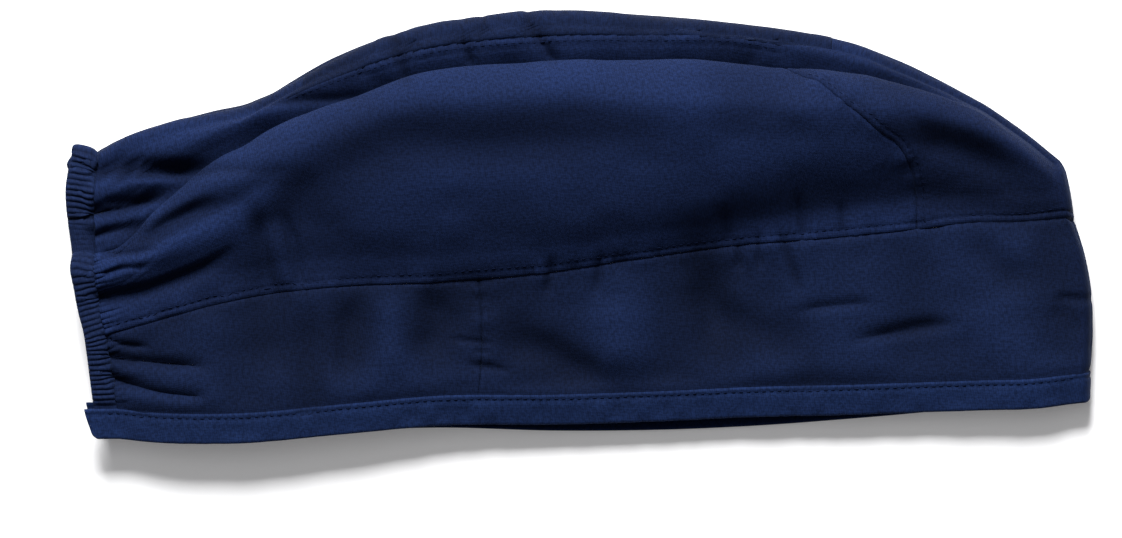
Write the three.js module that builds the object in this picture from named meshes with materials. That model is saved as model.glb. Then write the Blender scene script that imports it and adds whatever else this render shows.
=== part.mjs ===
import * as THREE from 'three';

// A fabric scrub cap lying folded on its side, forehead towards +X, crown towards +Y, upper layer up.
// All lengths are in millimetres. The cap is one double layer of cloth, folded along its top and its
// forehead, open along its rim and its gathered back. Each sewn piece is a region of that surface.
//
// A place on a layer has two numbers. `along` runs from the casing's seam (0) to the forehead fold (1),
// and is negative on the casing. `across` counts the lines of KEYS, from the rim (0) to the top (9).

const CLOTH = 1.2;
const BINDING = 2.4;
const CASING = 3.2;
const SEAM_GAP = 0.7;
const BINDING_WIDTH = 8.0;
const STRIP_START = 0.28;
const CASING_ALONG = -0.03;
const BINDING_END = -0.043;
const JOIN_AT_HEM = 0.375;
const JOIN_AT_SEAM = 0.388;
const FOLD_FULLNESS = 0.6;
const BAND_FRONT_BOW = 2.6;
const WELD = 1e-4;

// A table's rows as objects, from the names of its columns and the numbers in each row.
const table = (columns, rows) =>
  rows.map((numbers) => Object.fromEntries(columns.map((column, i) => [column, numbers[i]])));

// Lines that run from the back to the forehead: where each starts on the casing's outer edge, where the
// casing is sewn to the panels, where it reaches the forehead, and its share of the lower layer's way from
// the band seam to the top.
const KEYS = [
  { line: 'rim', casing: -130.4, back: -125.6, front: 138.5, share: 0.0 },
  { line: 'hem', casing: -132.3, back: -126.1, front: 138.6, share: 0.0 },
  { line: 'seam', casing: -135.0, back: -129.0, front: 134.7, share: 0.0 },
  { line: 'bulge', casing: -136.6, back: -130.6, front: 134.2, share: 0.25 },
  { line: 'dip', casing: -137.8, back: -131.4, front: 133.6, share: 0.5 },
  { line: 'crest', casing: -138.7, back: -132.0, front: 133.0, share: 0.68 },
  { line: 'ridge', casing: -138.4, back: -132.0, front: 132.4, share: 0.82 },
  { line: 'tuck', casing: -138.4, back: -132.0, front: 132.0, share: 0.88 },
  { line: 'strip', casing: -140.2, back: -132.4, front: 131.6, share: 0.94 },
  { line: 'top', casing: -138.6, back: -131.6, front: 131.2, share: 1.0 },
];
const HEM = 1;
const SEAM = 2;
const UNDER = 6.75;
const TUCK = 7;
const STRIP = 8;
const BACK_TOP = 8.9;
const TOP = 9;

// The plan of each section, from the back to the forehead: y of the lines, and of the lower layer's rim.
const PLAN = table(
  ['along', 'rim', 'seam', 'crest', 'ridge', 'tuck', 'strip', 'top', 'lowerRim'],
  [
    [0.0, -57.4, -29.2, -11.5, -8.6, -8.0, 8.0, 20.2, -55.8],
    [0.03, -58.3, -27.2, -8.2, -5.2, -5.0, 11.5, 24.0, -56.0],
    [0.07, -58.8, -24.2, 2.0, 6.0, 4.8, 18.0, 27.2, -56.2],
    [0.12, -58.7, -20.8, 11.0, 16.8, 14.0, 25.3, 31.0, -56.2],
    [0.155, -58.2, -18.9, 14.8, 21.6, 18.4, 29.0, 32.9, -56.0],
    [0.18, -57.6, -17.8, 18.2, 26.3, 22.5, 32.6, 36.2, -55.8],
    [0.25, -55.8, -16.1, 25.4, 33.1, 29.1, 40.6, 46.6, -55.2],
    [0.34, -53.8, -15.2, 33.0, 41.4, 37.3, 48.2, 54.4, -54.6],
    [0.45, -53.6, -12.9, 35.2, 44.2, 39.8, 51.6, 58.5, -55.4],
    [0.56, -52.7, -8.4, 34.8, 44.7, 39.9, 52.2, 57.9, -55.2],
    [0.66, -51.5, -4.9, 34.4, 44.8, 40.3, 51.6, 55.6, -54.1],
    [0.75, -51.0, -3.1, 33.0, 42.0, 38.2, 47.5, 52.2, -52.4],
    [0.83, -50.3, -1.0, 32.0, 39.4, 37.2, 42.0, 45.9, -50.6],
    [0.9, -49.7, 1.2, 28.0, 33.0, 33.4, 34.2, 36.8, -48.7],
    [0.95, -49.3, 1.4, 22.4, 25.2, 26.0, 26.6, 28.6, -47.4],
    [1.0, -47.8, 2.6, 12.8, 15.0, 16.0, 16.7, 18.6, -46.2],
  ],
);

// The height of the upper layer above the surface the cap lies on, at the same sections.
const HEIGHTS = table(
  ['along', 'rim', 'seam', 'bulge', 'dip', 'crest', 'ridge', 'tuck', 'strip', 'top'],
  [
    [0.0, 9.5, 12.5, 12.5, 13.0, 13.5, 11.3, 8.8, 9.0, 7.0],
    [0.03, 10.5, 13.0, 13.4, 14.8, 15.0, 12.3, 9.0, 9.5, 7.0],
    [0.07, 11.5, 13.5, 14.2, 17.0, 17.5, 14.0, 9.0, 10.5, 7.2],
    [0.12, 11.5, 14.0, 15.8, 18.6, 19.5, 14.5, 8.5, 11.0, 8.0],
    [0.18, 11.5, 14.0, 16.8, 20.0, 22.0, 15.5, 8.0, 10.8, 9.0],
    [0.25, 10.5, 13.5, 17.8, 21.8, 24.0, 17.0, 8.2, 12.0, 10.2],
    [0.34, 8.5, 13.2, 19.4, 24.4, 26.5, 18.5, 8.8, 12.6, 11.0],
    [0.45, 7.0, 13.0, 21.4, 26.2, 28.0, 19.5, 9.2, 13.2, 11.5],
    [0.56, 6.5, 12.5, 21.6, 26.5, 28.5, 19.5, 9.2, 13.2, 11.5],
    [0.66, 6.5, 11.8, 19.4, 25.8, 28.0, 19.5, 9.2, 12.8, 11.2],
    [0.75, 6.8, 11.8, 16.6, 23.6, 26.5, 18.5, 9.0, 12.2, 10.4],
    [0.83, 7.2, 11.0, 14.6, 20.6, 24.0, 17.5, 10.5, 11.4, 9.2],
    [0.9, 7.8, 10.0, 13.2, 16.6, 20.0, 15.5, 12.0, 9.8, 7.4],
    [0.95, 8.0, 9.4, 11.8, 13.8, 15.5, 12.5, 10.2, 8.2, 6.2],
    [1.0, 7.5, 8.6, 9.4, 9.8, 9.5, 8.2, 7.2, 6.2, 5.0],
  ],
);

// Where the seam between a side panel and the centre panel ends each line.
const CENTRE_SEAM = [
  { across: 2.0, along: 0.845 },
  { across: 3.0, along: 0.846 },
  { across: 3.8, along: 0.834 },
  { across: 4.3, along: 0.81 },
  { across: 5.0, along: 0.781 },
  { across: 5.5, along: 0.755 },
  { across: 6.0, along: 0.719 },
  { across: 7.0, along: 0.705 },
  { across: 8.0, along: 0.712 },
  { across: 9.0, along: 0.765 },
];

// Folds of the upper layer, each a bowed line in plan from one place to another: `bow` is how far its
// middle stands to the left of the straight way, `rise` its height, and `above` and `below` its width on
// that line's left and right. These start at the casing, at their full size, and die out along the cloth.
const FOLD_COLUMNS = ['fold', 'fromX', 'fromY', 'toX', 'toY', 'bow', 'rise', 'above', 'below'];
const CASING_FOLDS = table(FOLD_COLUMNS, [
  ['back valley', -134, 14.4, -98, 14, 1, -3.2, 2.9, 1.4],
  ['upper lobe', -130, 18.5, -68.4, 34, 1.8, 2, 2.2, 5.5],
  ['middle lobe', -134, 9.5, -107, 11.9, 2.2, 1.7, 1.6, 2.6],
  ['lobe crease', -134, 3.2, -110.5, 8.8, -0.4, -2.7, 2.2, 1],
  ['lower lobe', -134, 1, -111, 9.2, -2.6, 1.7, 1, 2.2],
  ['bright swell', -130, -11.8, -71, 19, -3.2, 1.5, 3, 5],
  ['long crease', -134, -19.4, -92, -3.6, -3, -2.4, 1.2, 3],
  ['band crease upper', -129, -35.4, -99, -38, -0.5, -2.1, 2, 1.5],
  ['band crease lower', -129, -40.4, -99, -45.8, -2, -2.4, 2.1, 1.3],
]);

// These die out at both ends.
const INNER_FOLDS = table(FOLD_COLUMNS, [
  ['ridge hollow', -124, -7.5, -96, 8.3, 2, -2.2, 2, 2.8],
  ['front crease upper', 56, -23.1, 83, -20.6, 0.6, -1.1, 1.8, 1.4],
  ['front crease lower', 71, -31.5, 106, -25.6, 0.4, -1.9, 2.4, 1.6],
  ['side valley', 14, -9, 104, 8, 6, -2, 7, 6],
  ['front hollow', 82, 25.5, 124, 8, 4.8, -2.2, 5, 5],
  ['band hollow back', -62.3, -17, -64.3, -45, 0, -1.4, 4.2, 4.2],
  ['band swell back', -51.9, -16, -50.6, -43, 0, 1.5, 4, 4],
  ['band hollow seam', -38.3, -16, -41, -37, 0, -1.3, 4.5, 4.5],
  ['band hollow middle', -27, -31.5, 4, -45, 4.8, -1.3, 5, 5],
  ['band swell middle', 7, -18, 11, -42, 0, 1.4, 7, 7],
  ['band hollow front', 34.2, -7, 36.5, -34, 0, -1.4, 4, 4],
]);

// How many steps the faceted cloth takes, along each stretch and round each fold.
const ALONG_STEPS = 27;
const BAND_BACK_STEPS = 10;
const BAND_STEPS = 4;
const SIDE_STEPS = 24;
const CENTER_STEPS = 8;
const STRIP_STEPS = 14;
const STRIP_BACK_STEPS = 4;
const FOLD_STEPS = 4;
const CROWN_LINES = [
  2, 2.5, 3, 3.5, 4, 4.35, 4.7, 5, 5.25, 5.5, 5.75, 6, 6.25, 6.5, 6.75, 7, 7.4, 7.75, 8, 8.25, 8.6, 9,
];

const mix = (a, b, part) => a + (b - a) * part;
const clamp = (value, low, high) => Math.min(high, Math.max(low, value));
const eased = (part) => part * part * (3 - 2 * part);

// A smooth curve through the rows of a table: `column` as it changes with `by`.
function through(rows, by, column, at) {
  const last = rows.length - 1;
  const place = clamp(at, rows[0][by], rows[last][by]);
  let i = 0;
  while (i < last - 1 && place > rows[i + 1][by]) {
    i += 1;
  }
  const slope = (k) => {
    const before = rows[Math.max(k - 1, 0)];
    const after = rows[Math.min(k + 1, last)];
    return (after[column] - before[column]) / (after[by] - before[by]);
  };
  const run = rows[i + 1][by] - rows[i][by];
  const t = (place - rows[i][by]) / run;
  const leave = t * (1 - t) * (1 - t) * run * slope(i);
  const arrive = t * t * (t - 1) * run * slope(i + 1);
  return mix(rows[i][column], rows[i + 1][column], eased(t)) + leave + arrive;
}

// How far a fold between the layers stands out past them, for layers this far apart.
const foldReach = (height) => (FOLD_FULLNESS * (height - CLOTH / 2)) / 2;

// Where one section crosses the ten lines of the upper layer, as [y, z].
function crossings(along) {
  const y = (column) => through(PLAN, 'along', column, along);
  const z = (column) => through(HEIGHTS, 'along', column, along);
  return [
    [y('rim'), z('rim')],
    [y('rim') + BINDING_WIDTH, mix(z('rim'), z('seam'), 0.2) + 0.6],
    [y('seam'), z('seam')],
    [mix(y('seam'), y('crest'), 0.36), z('bulge')],
    [mix(y('seam'), y('crest'), 0.73), z('dip')],
    [y('crest'), z('crest')],
    [y('ridge'), z('ridge')],
    [y('tuck'), z('tuck')],
    [y('strip'), z('strip')],
    [y('top') - foldReach(z('top')), z('top')],
  ];
}

const FRONT_REACHES = crossings(1).map(([, z]) => foldReach(z));

function keyX(line, along) {
  const { casing, back, front } = KEYS[line];
  return along < 0 ? mix(back, casing, along / CASING_ALONG) : mix(back, front - FRONT_REACHES[line], along);
}

const sectionPoints = (along) =>
  crossings(clamp(along, 0, 1)).map(([y, z], line) => [keyX(line, along), y, z]);

// A smooth curve through points, whose slopes allow for the different lengths between them.
function throughPoints(points, at) {
  const last = points.length - 1;
  const i = Math.floor(clamp(at, 0, last - 1e-9));
  const t = at - i;
  const [a, b, c, d] = [i - 1, i, i + 1, i + 2].map((k) => points[clamp(k, 0, last)]);
  const gap = (from, to) => Math.hypot(...from.map((value, axis) => to[axis] - value));
  const leaving = (t * (1 - t) * (1 - t) * gap(b, c)) / (gap(a, b) + gap(b, c));
  const arriving = (t * t * (t - 1) * gap(b, c)) / (gap(b, c) + gap(c, d));
  return b.map((value, axis) =>
    mix(value, c[axis], eased(t)) + leaving * (c[axis] - a[axis]) + arriving * (d[axis] - value));
}

const FOLD_PLACES = 8;
const FOLD_END = 0.35;

// The places that a fold's line runs through, as [x, y].
function foldLine({ fromX, fromY, toX, toY, bow }) {
  const run = Math.hypot(toX - fromX, toY - fromY);
  return spread(0, 1, FOLD_PLACES).map((part) => {
    const off = (4 * bow * part * (1 - part)) / run;
    return [mix(fromX, toX, part) - off * (toY - fromY), mix(fromY, toY, part) + off * (toX - fromX)];
  });
}

// How far along a line, from 0 to 1, the nearest place to (x, y) is, and how far to its left.
function besideLine(line, x, y) {
  let best = { along: 0, left: Infinity };
  for (let i = 0; i + 1 < line.length; i += 1) {
    const [x0, y0] = line[i];
    const dx = line[i + 1][0] - x0;
    const dy = line[i + 1][1] - y0;
    const part = clamp(((x - x0) * dx + (y - y0) * dy) / (dx * dx + dy * dy), 0, 1);
    const off = Math.hypot(x - x0 - part * dx, y - y0 - part * dy);
    if (off < Math.abs(best.left)) {
      const side = dx * (y - y0) - dy * (x - x0) < 0 ? -1 : 1;
      best = { along: (i + part) / (line.length - 1), left: side * off };
    }
  }
  return best;
}

const measured = (folds, atCasing) => folds.map((fold) => ({ ...fold, atCasing, line: foldLine(fold) }));

function foldRise(folds, x, y) {
  let rise = 0;
  for (const fold of folds) {
    const { along, left } = besideLine(fold.line, x, y);
    const begun = fold.atCasing ? 1 : eased(clamp(along / FOLD_END, 0, 1));
    const ended = eased(clamp((1 - along) / FOLD_END, 0, 1));
    const off = left / (left > 0 ? fold.above : fold.below);
    rise += fold.rise * begun * ended * Math.exp(-off * off);
  }
  return rise;
}

// How much of a place belongs to the ridge's rolled side, which the folds leave smooth.
const ROLL_MIDDLE = 6.5;
const ROLL_REACH = 1.05;
const ROLL_FADE = 0.55;
const ROLL_START = 0.08;

function rolled(along, across) {
  const inside = clamp((ROLL_REACH - Math.abs(across - ROLL_MIDDLE)) / ROLL_FADE, 0, 1);
  return inside * clamp(along / ROLL_START, 0, 1);
}

const FOLDS = [...measured(CASING_FOLDS, true), ...measured(INNER_FOLDS, false)];

function upper(along, across) {
  const [straightX, y, z] = throughPoints(sectionPoints(along), across);
  const bandPart = clamp(across - HEM, 0, 1);
  const x = straightX + 4 * BAND_FRONT_BOW * bandPart * (1 - bandPart) * clamp(along, 0, 1);
  return new THREE.Vector3(x, y, z + foldRise(FOLDS, x, y) * (1 - rolled(along, across)));
}

function lowerShare(across) {
  const line = Math.floor(clamp(across, 0, TOP - 1e-9));
  return mix(KEYS[line].share, KEYS[line + 1].share, across - line);
}

function lower(along, across, thickness) {
  const at = clamp(along, 0, 1);
  const rim = through(PLAN, 'along', 'lowerRim', at);
  const seam = through(PLAN, 'along', 'seam', at) - 1.5;
  let y = mix(seam, upper(at, TOP).y, lowerShare(across));
  if (across <= HEM) {
    y = rim + BINDING_WIDTH * across;
  } else if (across < SEAM) {
    y = mix(rim + BINDING_WIDTH, seam, across - HEM);
  }
  return new THREE.Vector3(upper(along, across).x, y, thickness / 2);
}

// The rounded turn from the upper to the lower layer, outward at `facing` degrees from +X in plan.
function turn(along, across, part, facing, thickness) {
  const above = upper(along, across);
  const below = lower(along, across, thickness);
  const middle = above.clone().add(below).multiplyScalar(0.5);
  const reach = (FOLD_FULLNESS * above.distanceTo(below)) / 2;
  const angle = part * Math.PI;
  const facingAngle = THREE.MathUtils.degToRad(facing);
  const outward = new THREE.Vector3(Math.cos(facingAngle), Math.sin(facingAngle), 0);
  return middle
    .add(above.sub(middle).multiplyScalar(Math.cos(angle)))
    .add(outward.multiplyScalar(reach * Math.sin(angle)));
}

const TOP_FACING = 90;
const CORNER_FACING = 40;
const topFacing = (along) => mix(TOP_FACING, CORNER_FACING, clamp((along - 0.9) / 0.1, 0, 1));
const frontFacing = (across) => mix(0, CORNER_FACING, clamp((across - 5) / 4, 0, 1));

// A grid of points: rows across, columns along. `flip` is for the lower layer, which faces down.
const grid = (columns, rows, place, flip = false) => ({
  points: rows.map((row) => columns.map((column) => place(column, row))),
  flip,
});

function spread(from, to, steps) {
  return Array.from({ length: steps + 1 }, (_, i) => mix(from, to, i / steps));
}

const linesBetween = (low, high) => CROWN_LINES.filter((line) => line >= low && line <= high);
const seamEnd = (across) => through(CENTRE_SEAM, 'across', 'along', across);

// Joins grids into one sheet, merging the points that they share.
function join(grids) {
  const points = [];
  const faces = [];
  const known = new Map();
  const indexOf = (point) => {
    const id = point.toArray().map((value) => Math.round(value / WELD)).join(',');
    if (!known.has(id)) {
      known.set(id, points.length);
      points.push(point);
    }
    return known.get(id);
  };
  for (const { points: rows, flip } of grids) {
    const ids = rows.map((row) => row.map(indexOf));
    for (let r = 0; r + 1 < ids.length; r += 1) {
      for (let c = 0; c + 1 < ids[r].length; c += 1) {
        const face = [ids[r][c], ids[r][c + 1], ids[r + 1][c + 1], ids[r + 1][c]];
        faces.push(flip ? face.reverse() : face);
      }
    }
  }
  return { points, faces };
}

function triangles(face) {
  const [a, b, c, d] = face;
  return [[a, b, c], [a, c, d]].filter((t) => new Set(t).size === 3);
}

// The sheet's edges, each as the two points it runs between with the sheet on its left.
function openEdges(faces) {
  const edges = new Map();
  for (const face of faces) {
    face.forEach((from, i) => {
      const to = face[(i + 1) % 4];
      if (from !== to && !edges.delete(`${to},${from}`)) {
        edges.set(`${from},${to}`, [from, to]);
      }
    });
  }
  return [...edges.values()];
}

function pointNormals(points, faces) {
  const normals = points.map(() => new THREE.Vector3());
  for (const [a, b, c] of faces.flatMap(triangles)) {
    const one = points[b].clone().sub(points[a]);
    const normal = points[c].clone().sub(points[a]).negate().cross(one);
    [a, b, c].forEach((id) => normals[id].add(normal));
  }
  return normals.map((normal) => normal.normalize());
}

// Draws the sheet's edges in by half a seam gap, so that neighbouring pieces stay clear.
function drawnIn(points, edges, normals) {
  const moves = new Map();
  for (const [from, to] of edges) {
    const inward = normals[from].clone().cross(points[to].clone().sub(points[from])).normalize();
    for (const id of [from, to]) {
      moves.set(id, (moves.get(id) ?? new THREE.Vector3()).add(inward));
    }
  }
  return points.map((point, id) => {
    const move = moves.get(id);
    return move ? point.clone().addScaledVector(move.normalize(), SEAM_GAP / 2) : point;
  });
}

// Gives a sheet thickness and closes its edges.
function cloth(name, grids, thickness, color) {
  const sheet = join(grids);
  const edges = openEdges(sheet.faces);
  const normals = pointNormals(sheet.points, sheet.faces);
  const points = drawnIn(sheet.points, edges, normals);
  const outer = points.map((point, id) => point.clone().addScaledVector(normals[id], thickness / 2));
  const inner = points.map((point, id) => point.clone().addScaledVector(normals[id], -thickness / 2));
  const count = points.length;
  const faces = sheet.faces.flatMap(triangles);
  const index = faces.flat();
  for (const [a, b, c] of faces) {
    index.push(a + count, c + count, b + count);
  }
  for (const [from, to] of edges) {
    index.push(to, from, from + count, to, from + count, to + count);
  }
  const geometry = new THREE.BufferGeometry();
  const flat = [...outer, ...inner].flatMap((point) => point.toArray());
  geometry.setAttribute('position', new THREE.Float32BufferAttribute(flat, 3));
  geometry.setIndex(index);
  geometry.computeVertexNormals();
  const mesh = new THREE.Mesh(geometry, new THREE.MeshStandardMaterial({ color, roughness: 0.9 }));
  mesh.name = name;
  return mesh;
}

const CROWN_COLOR = 0x26365f;
const BAND_COLOR = 0x2a3c66;
const BINDING_COLOR = 0x1f2e52;
const CASING_COLOR = 0x223259;

// How far along a line a place is, `part` of the way from the casing to the centre seam, or from there to
// the forehead.
const behindSeam = (part, across) => part * seamEnd(across);
const aheadOfSeam = (part, across) => mix(seamEnd(across), 1, part);

const upperBehind = (part, across) => upper(behindSeam(part, across), across);
const upperAhead = (part, across) => upper(aheadOfSeam(part, across), across);
const lowerBehind = (part, across) => lower(behindSeam(part, across), across, CLOTH);
const lowerAhead = (part, across) => lower(aheadOfSeam(part, across), across, CLOTH);
const topTurn = (along, fold) => turn(along, TOP, fold, topFacing(along), CLOTH);
const crownFrontTurn = (fold, across) => turn(1, across, fold, frontFacing(across), CLOTH);
const bandFrontTurn = (fold, across) => turn(1, across, fold, 0, CLOTH);
const bandJoin = (across) => mix(JOIN_AT_HEM, JOIN_AT_SEAM, across - HEM);
const behindJoin = (part, across) => part * bandJoin(across);
const aheadOfJoin = (part, across) => mix(bandJoin(across), 1, part);

const foldParts = spread(0, 1, FOLD_STEPS);
const stripParts = spread(STRIP_START, 1, STRIP_STEPS);
const backParts = spread(0, STRIP_START, STRIP_BACK_STEPS);
const bandLines = spread(HEM, SEAM, BAND_STEPS);

function crownSideRight() {
  return cloth('crown_side_right', [
    grid(spread(0, 1, SIDE_STEPS), linesBetween(SEAM, UNDER), upperBehind),
  ], CLOTH, CROWN_COLOR);
}

function crownCenter() {
  const lines = linesBetween(SEAM, TOP);
  const onward = spread(0, 1, CENTER_STEPS);
  return cloth('crown_center', [
    grid(backParts, [...linesBetween(TUCK, BACK_TOP), BACK_TOP], upperBehind),
    grid(stripParts, linesBetween(TUCK, STRIP), upperBehind),
    grid(onward, lines, upperAhead),
    grid(onward, foldParts, (part, fold) => topTurn(aheadOfSeam(part, TOP), fold)),
    grid(foldParts, lines, crownFrontTurn),
    grid(onward, lines, lowerAhead, true),
  ], CLOTH, CROWN_COLOR);
}

function crownSideLeft() {
  const whole = [...backParts.slice(0, -1), ...stripParts];
  return cloth('crown_side_left', [
    grid(stripParts, linesBetween(STRIP, TOP), upperBehind),
    grid(whole, foldParts, (part, fold) => topTurn(behindSeam(part, TOP), fold)),
    grid(whole, linesBetween(SEAM, TOP), lowerBehind, true),
  ], CLOTH, CROWN_COLOR);
}

function bandFront() {
  const onward = spread(0, 1, ALONG_STEPS - BAND_BACK_STEPS);
  return cloth('band_front', [
    grid(onward, bandLines, (part, across) => upper(aheadOfJoin(part, across), across)),
    grid(foldParts, bandLines, bandFrontTurn),
    grid(onward, bandLines, (part, across) => lower(aheadOfJoin(part, across), across, CLOTH), true),
  ], CLOTH, BAND_COLOR);
}

function bandBackRight() {
  const place = (part, across) => upper(behindJoin(part, across), across);
  return cloth('band_back_right', [grid(spread(0, 1, BAND_BACK_STEPS), bandLines, place)], CLOTH, BAND_COLOR);
}

function bandBackLeft() {
  const place = (part, across) => lower(behindJoin(part, across), across, CLOTH);
  return cloth('band_back_left', [
    grid(spread(0, 1, BAND_BACK_STEPS), bandLines, place, true),
  ], CLOTH, BAND_COLOR);
}

function hemBinding() {
  const lines = spread(0, HEM, 2);
  const columns = [BINDING_END, BINDING_END / 2, ...spread(0, 1, ALONG_STEPS)];
  return cloth('hem_binding', [
    grid(columns, lines, upper),
    grid(foldParts, lines, (fold, across) => turn(1, across, fold, 0, BINDING)),
    grid(columns, lines, (along, across) => lower(along, across, BINDING), true),
  ], BINDING, BINDING_COLOR);
}

function elasticCasing() {
  const lines = [...bandLines.slice(0, -1), ...linesBetween(SEAM, TOP)];
  const columns = spread(CASING_ALONG, 0, 2);
  return cloth('elastic_casing', [
    grid(columns, lines, upper),
    grid(columns, foldParts, (along, fold) => turn(along, TOP, fold, TOP_FACING, CASING)),
    grid(columns, lines, (along, across) => lower(along, across, CASING), true),
  ], CASING, CASING_COLOR);
}

// Moves every piece so that the cap stands on z = 0 with its plan centred on the origin.
function centred(group) {
  const box = new THREE.Box3().setFromObject(group, true);
  const middle = box.getCenter(new THREE.Vector3());
  for (const mesh of group.children) {
    mesh.geometry.translate(-middle.x, -middle.y, -box.min.z);
  }
  return group;
}

const cap = new THREE.Group();
cap.name = 'scrub_cap';
cap.add(
  crownSideRight(),
  crownSideLeft(),
  crownCenter(),
  bandFront(),
  bandBackRight(),
  bandBackLeft(),
  hemBinding(),
  elasticCasing(),
);

export default centred(cap);
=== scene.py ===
"""A navy cotton scrub cap lying folded on its side: forehead towards +X, crown towards +Y.

Tables and shape functions are in millimetres; meshes are built in metres. The cap is a double layer of
cloth, folded along its top and its forehead. A place on a layer has two numbers: `along` runs from the
casing's seam (0) to the forehead fold (1), negative on the casing, and `across` counts lines from the
rim (0) to the top (9).
"""

import math

import bpy
import numpy as np
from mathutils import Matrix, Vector
from mathutils.bvhtree import BVHTree
from mathutils.kdtree import KDTree


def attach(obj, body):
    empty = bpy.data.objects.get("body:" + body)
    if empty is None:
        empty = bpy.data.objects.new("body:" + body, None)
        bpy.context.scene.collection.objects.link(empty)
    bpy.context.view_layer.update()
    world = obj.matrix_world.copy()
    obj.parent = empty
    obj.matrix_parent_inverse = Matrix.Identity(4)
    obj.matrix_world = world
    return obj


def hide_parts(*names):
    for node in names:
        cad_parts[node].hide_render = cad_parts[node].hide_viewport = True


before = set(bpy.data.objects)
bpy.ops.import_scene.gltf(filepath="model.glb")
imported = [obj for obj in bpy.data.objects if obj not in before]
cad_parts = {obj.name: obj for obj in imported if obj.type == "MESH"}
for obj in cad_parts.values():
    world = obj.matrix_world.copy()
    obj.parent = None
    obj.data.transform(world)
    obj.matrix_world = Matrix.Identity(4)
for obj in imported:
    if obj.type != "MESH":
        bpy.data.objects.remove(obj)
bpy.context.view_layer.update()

MM = 0.001
FOLD_FULLNESS = 0.6

# Thicknesses, widths and lengths.
CLOTH = 0.8
BINDING = 1.6
CASING = 3.0
CAD_CLOTH = 1.2
SEAM_LAP = 0.1
BINDING_WIDTH = 8.0
BAND_WIDTH = 33
LENGTH = 262
PLAN_CENTRE = (0.126, 0.331)
BAND_FRONT_BOW = 2.6

# Places along the cap: the band's join, the start of the far side panel's strip, the casing's outer edge
# and the binding's end.
JOIN_AT_HEM = 0.375
JOIN_AT_SEAM = 0.388
STRIP_START = 0.28
CASING_ALONG = -0.03
BINDING_END = -0.043

# Places across it, and how far the band and the casing run in under the binding.
HEM, SEAM, UNDER, TUCK, STRIP, TOP = 1, 2, 6.9, 7, 8, 9
BAND_TUCK = 0.07
CASING_TUCK = 0.25

# Lines that run from the back to the forehead: where each starts on the casing's outer edge, where the
# casing is sewn to the panels, where it reaches the forehead, and its share of the lower layer's way up.
KEY_COLUMNS = ("casing", "back", "front", "share")
KEYS = np.array([
    (-130.4, -125.6, 138.5, 0),
    (-132.3, -126.1, 138.6, 0),
    (-135, -129, 134.7, 0),
    (-136.6, -130.6, 134.2, 0.25),
    (-137.8, -131.4, 133.6, 0.5),
    (-138.7, -132, 133, 0.68),
    (-138.4, -132, 132.4, 0.82),
    (-138.4, -132, 132, 0.88),
    (-140.2, -132.4, 131.6, 0.94),
    (-138.6, -131.6, 131.2, 1),
])

# The plan of each section, from the back to the forehead: y of the lines, and of the lower rim.
PLAN_COLUMNS = ("along", "rim", "seam", "crest", "ridge", "tuck", "strip", "top", "lower_rim")
PLAN = np.array([
    (0, -57.4, -29.2, -11.5, -8.6, -8, 8, 20.2, -55.8),
    (0.03, -58.3, -27.2, -8.2, -5.2, -5, 11.5, 24, -56),
    (0.07, -58.8, -24.2, 2, 6, 4.8, 18, 27.2, -56.2),
    (0.12, -58.7, -20.8, 11, 16.8, 14, 25.3, 31, -56.2),
    (0.155, -58.2, -18.9, 14.8, 21.6, 18.4, 29, 32.9, -56),
    (0.18, -57.6, -17.8, 18.2, 26.3, 22.5, 32.6, 36.2, -55.8),
    (0.25, -55.8, -16.1, 25.4, 33.1, 29.1, 40.6, 46.6, -55.2),
    (0.34, -53.8, -15.2, 33, 41.4, 37.3, 48.2, 54.4, -54.6),
    (0.45, -53.6, -12.9, 35.2, 44.2, 39.8, 51.6, 58.5, -55.4),
    (0.56, -52.7, -8.4, 34.8, 44.7, 39.9, 52.2, 57.9, -55.2),
    (0.66, -51.5, -4.9, 34.4, 44.8, 40.3, 51.6, 55.6, -54.1),
    (0.75, -51, -3.1, 33, 42, 38.2, 47.5, 52.2, -52.4),
    (0.83, -50.3, -1, 32, 39.4, 37.2, 42, 45.9, -50.6),
    (0.9, -49.7, 1.2, 28, 33, 33.4, 34.2, 36.8, -48.7),
    (0.95, -49.3, 1.4, 22.4, 25.2, 26, 26.6, 28.6, -47.4),
    (1, -47.8, 2.6, 12.8, 15, 16, 16.7, 18.6, -46.2),
])

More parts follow.
